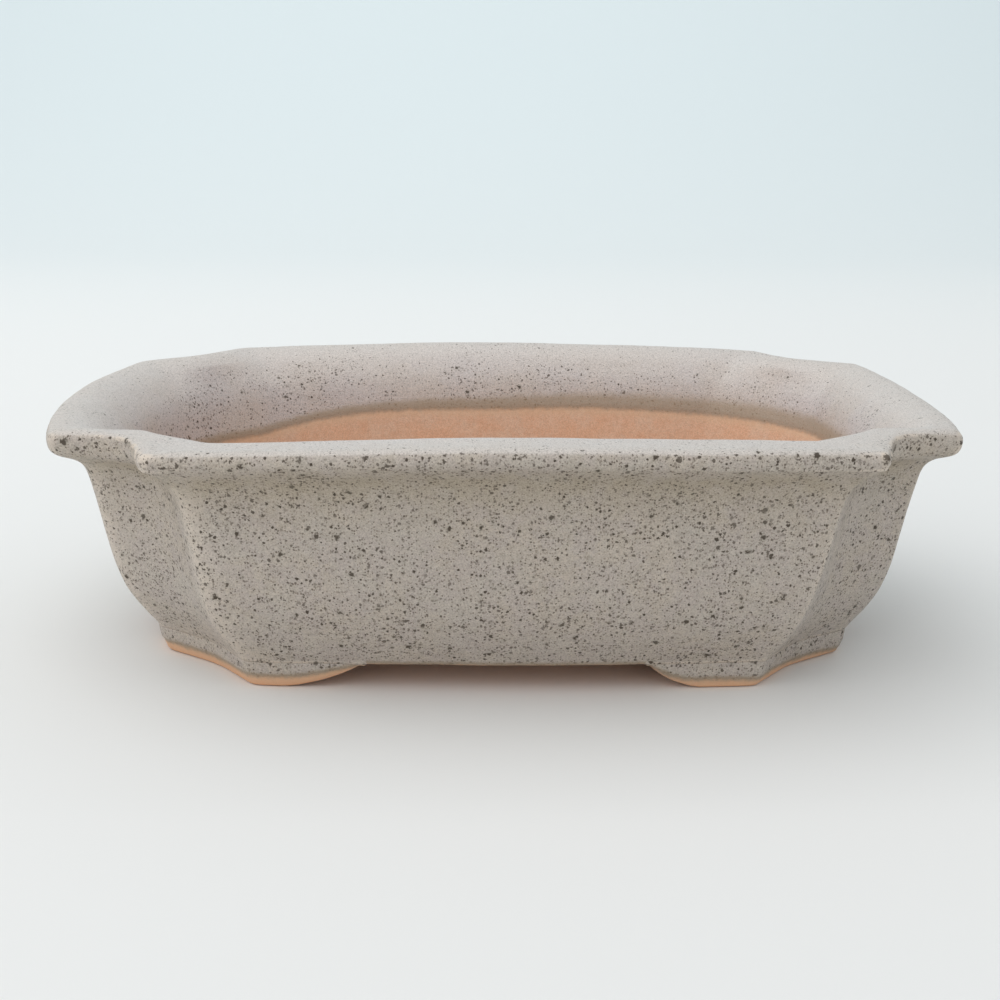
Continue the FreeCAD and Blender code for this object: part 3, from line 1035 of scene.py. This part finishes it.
def clay_coat(look, point):
    """Bare orange earthenware: its colour, with painted warm bounce light low on the pot, and its
    relief.
    """
    colour = look.blend(look.patches(point, (0.14, 3.0), 0.35, 0.65), CLAY_PINK, CLAY_ORANGE)
    grain = look.patches(point, (2.6, 3.0, 0.7), 0.35, 0.65)
    colour = look.blend(look.times(grain, 0.45), colour, CLAY_PALE)
    mottle = look.patches(point, (0.9, 4.0, 0.7), 0.4, 0.62, 0.0, 0.45)
    colour = look.blend(mottle, colour, CLAY_RED)
    colour = look.scaled(colour, look.patches(point, (3.4, 2.0, 0.6), 0.35, 0.65, 0.9, 1.1))
    # Below about 7.5 mm the clay turns a deeper, brighter orange: partly its own colour and partly
    # painted warm bounce light under the pot
    under = look.step(look.coordinate(point, 2), 5.5, 7.5, 0.8, 0.0)
    colour = look.blend(under, colour, CLAY_DEEP_AND_BOUNCE_LIGHT)
    iron = look.spots(look.bent(point, 2.0, 0.3), CLAY_SPECKS, 1.0)
    colour = look.blend(look.times(iron, 0.6), colour, CLAY_DARK)
    wipes = look.times(look.noise(point, 0.9, 2.0), WIPE_MARKS)
    return colour, look.math("MULTIPLY_ADD", grain, CLAY_GRAIN, wipes)


def bare_clay():
    """The floor slab's clay."""
    look = Look("bare_clay")
    point = look.millimetres()
    colour, relief = clay_coat(look, point)
    roughness = look.patches(point, (0.6,), 0.3, 0.7, 0.84, 0.94)
    return look.finish(colour, roughness, relief)


def glaze_colour(look, point, inner, painted_top_light):
    """The glaze with no specks: cloudy warm grey, paler inside, and painted lighter where it faces
    up, as painted light on the flat of the lip.
    """
    edge, under_lip_pool_and_shade, arris = look.value("edge"), look.value("under_lip_pool_and_shade"), look.value("arris")
    clouds = look.patches(point, (0.075, 3.0), 0.35, 0.65)
    colour = look.blend(clouds, GLAZE_WARM, GLAZE_COOL)
    for tone, settings, low, high, most in GLAZE_CLOUDS:
        colour = look.blend(look.patches(point, settings, low, high, 0.0, most), colour, tone)
    inside = look.blend(clouds, GLAZE_INSIDE, GLAZE_LAVENDER)
    colour = look.blend(look.times(inner, 0.85), colour, inside)
    # Painted light: surfaces that face up are painted lighter
    colour = look.blend(look.times(painted_top_light, 0.75), colour, PAINTED_TOP_LIGHT_COLOUR)
    # Under the lip: olive where the glaze pools, and darker there as painted shade
    pooled_and_shaded = look.patches(point, (0.25, 3.0), 0.3, 0.6, 0.45, 0.85)
    colour = look.blend(look.times(under_lip_pool_and_shade, pooled_and_shaded), colour, GLAZE_OLIVE)
    colour = look.blend(look.step(edge, -0.05, -0.3, 0.0, 0.5), colour, GLAZE_OLIVE)
    colour = look.scaled(colour, look.patches(point, (3.2, 2.0, 0.6), 0.38, 0.62, 0.86, 1.12))
    # Paler where the glaze ran thin on the arrises; at the front-left arris this is partly painted
    # light
    worn = look.patches(point, (0.5, 3.0), 0.3, 0.6, 0.35, 0.8)
    colour = look.blend(look.times(arris, worn), colour, GLAZE_BREAK)
    broken = look.patches(point, (0.4, 2.0), 0.35, 0.6, 0.15, 0.8)
    return look.blend(look.times(look.step(edge, 0.15, 0.4), broken), colour, GLAZE_BREAK)


def iron_specks(look, point, inner, painted_top_light, colour):
    """The colour with the iron's specks over it, and the mask of the dark ones."""
    brim = look.value("brim")
    crowd = look.patches(point, (0.13, 2.0), 0.3, 0.7, 0.95, 1.3)
    quiet = look.patches(point, (0.035, 1.0), 0.4, 0.6, 0.7, 0.95)
    crowd = look.times(crowd, look.between(inner, 1.0, quiet))
    # Fewer specks where the surface faces up, as part of the painted light there
    crowd = look.times(crowd, look.step(painted_top_light, 0.0, 1.0, 1.0, 0.6))
    crowd = look.times(crowd, look.patches(point, (2.4, 1.0), 0.25, 0.75, 0.7, 1.3))
    gathered = look.times(crowd, look.step(brim, 0.0, 1.0, 1.0, BRIM_CROWD))
    on_brim = look.times(crowd, look.step(brim, 0.05, 0.5))
    bent = look.bent(point, 1.6, 0.4)
    bent_wide = look.bent(point, 0.9, 0.9)
    halo = (LARGE_SPECKS[0], HALO_RADIUS, SPECK_SOFTNESS)
    halo = look.spots(bent_wide, halo, gathered, softness=HALO_SOFTNESS)
    fine = look.spots(bent, FINE_SPECKS, crowd)
    dark = look.spots(bent, MIDDLE_SPECKS, crowd)
    for layer in (
        look.spots(bent_wide, LARGE_SPECKS, gathered),
        look.spots(look.bent(point, 0.8, 1.0), RARE_SPOTS, 1.0),
        look.spots(look.bent(point, 1.1, 1.3), BRIM_BLOTS, on_brim),
    ):
        dark = look.math("MAXIMUM", dark, layer)
    colour = look.blend(look.times(halo, 0.3), colour, SPECK_HALO)
    colour = look.blend(look.times(fine, 0.85), colour, SPECK_BROWN)
    return look.blend(look.times(dark, 0.97), colour, SPECK_DARK), dark


def speckled_glaze():
    """The satin glaze with its iron specks, thin at its end, and bare clay past the end."""
    look = Look("speckled_glaze")
    point = look.millimetres()
    inner, painted_top_light = look.value("inner"), look.value("painted_top_light")
    colour = glaze_colour(look, point, inner, painted_top_light)
    colour, dark = iron_specks(look, point, inner, painted_top_light, colour)

    ragged = look.math("MULTIPLY_ADD", look.noise(point, 0.5, 5.0, 0.7), 1.6, -0.3)
    reach = look.math("ADD", look.value("over_line"), ragged)
    cover = look.step(reach, -0.7, 0.7)
    wide = look.step(look.coordinate(point, 0), -60.0, 60.0, 3.0, 5.5)
    wide = look.between(inner, 1.6, wide)
    near = look.math("SUBTRACT", 1.0, look.math("DIVIDE", reach, wide))
    colour = look.blend(look.step(near, 0.0, 0.55, 0.0, 0.75), colour, GLAZE_THIN)
    clay_colour, clay_relief = clay_coat(look, point)
    stain = look.step(reach, -2.8, -0.3, 0.0, 0.5)
    clay_colour = look.blend(stain, clay_colour, CLAY_STAINED)
    colour = look.blend(cover, clay_colour, colour)

    satin = look.patches(point, (0.4, 3.0), 0.3, 0.7, 0.4, 0.54)
    roughness = look.between(cover, CLAY_ROUGHNESS, satin)
    swell = look.times(look.noise(point, 0.4, 2.0), GLAZE_SWELL)
    relief = look.math("MULTIPLY_ADD", look.noise(point, 1.7, 3.0), ORANGE_PEEL, swell)
    relief = look.math("MULTIPLY_ADD", dark, -SPECK_PIT, relief)
    relief = look.math("MULTIPLY_ADD", relief, cover, clay_relief)
    return look.finish(colour, roughness, relief)


def paint():
    """Gives each piece the material that its slot names."""
    looks = {"speckled_glaze": speckled_glaze(), "bare_clay": bare_clay()}
    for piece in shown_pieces():
        piece.data.materials.append(looks[piece["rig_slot"]])


# ---- Stage, light and camera ----------------------------------------------------------------

def sweep_path():
    """The backdrop's section, as (y, z): a floor that bends up into a wall."""
    turn = np.linspace(0, math.pi / 2, SWEEP_STEPS)
    bend = np.column_stack([
        SWEEP_BACK - SWEEP_BEND + SWEEP_BEND * np.sin(turn),
        SWEEP_BEND - SWEEP_BEND * np.cos(turn),
    ])
    reach = np.linspace(-SWEEP_BACK, bend[0, 0], SWEEP_STEPS)[:-1]
    floor = np.column_stack([reach, np.zeros(len(reach))])
    return np.concatenate([floor, bend, [(SWEEP_BACK, SWEEP_TOP)]])


def make_stage():
    """A seamless pale sweep under and behind the pot, very faintly blue high up."""
    path = sweep_path()
    verts = [(x, y, z) for x in (-SWEEP_HALF, SWEEP_HALF) for y, z in path]
    count = len(path)
    faces = [(i, i + count, i + count + 1, i + 1) for i in range(count - 1)]
    sweep = new_object("sweep", verts, faces)
    look = Look("pale_paper")
    place = look.node("TexCoord", {}, output="Object")
    far = look.step(look.coordinate(place, 1), PAPER_FADE, SWEEP_BACK)
    look.feed(look.shader.inputs["Base Color"], look.blend(far, PAPER_NEAR, PAPER_FAR))
    look.feed(look.shader.inputs["Roughness"], PAPER_ROUGHNESS)
    sweep.data.materials.append(look.material)


def area_light(name, place, aim, size, power, colour):
    """A square light that the camera doesn't see."""
    lamp = bpy.data.lights.new(name, "AREA")
    lamp.energy = power
    lamp.size = size
    lamp.color = colour
    light = bpy.data.objects.new(name, lamp)
    light.visible_camera = False
    bpy.context.collection.objects.link(light)
    light.location = place
    light.rotation_euler = (Vector(aim) - Vector(place)).to_track_quat("-Z", "Y").to_euler()


def make_lights():
    """A wide soft window of light from the upper left, and pale air all round."""
    area_light("window", WINDOW_PLACE, WINDOW_AIM, WINDOW_SIZE, WINDOW_POWER, WINDOW_COLOUR)
    area_light("backdrop_light", BACK_LIGHT_PLACE, BACK_LIGHT_AIM, BACK_LIGHT_SIZE,
               BACK_LIGHT_POWER, BACK_LIGHT_COLOUR)
    world = bpy.data.worlds.new("pale_air")
    bpy.context.scene.world = world
    world.use_nodes = True
    background = world.node_tree.nodes["Background"]
    background.inputs["Color"].default_value = (*AIR_COLOUR, 1)
    background.inputs["Strength"].default_value = AIR_STRENGTH


def make_camera():
    """The photographer's place: in front, a little above, tilted down and a hair askew."""
    lens = bpy.data.cameras.new("camera")
    lens.lens = CAMERA_LENS
    lens.dof.use_dof = False
    camera = bpy.data.objects.new("camera", lens)
    bpy.context.collection.objects.link(camera)
    turn = Matrix.Rotation(CAMERA_YAW, 4, "Z")
    tilt = Matrix.Rotation(math.pi / 2 - CAMERA_PITCH, 4, "X")
    lean = Matrix.Rotation(CAMERA_ROLL, 4, "Z")
    camera.matrix_world = Matrix.Translation(CAMERA_PLACE) @ turn @ tilt @ lean
    bpy.context.scene.camera = camera


surface = Surface()
make_walls_and_rims(surface)
make_feet()
make_floor(surface)
paint()
make_stage()
make_lights()
make_camera()
bpy.context.scene.view_settings.view_transform = "Standard"
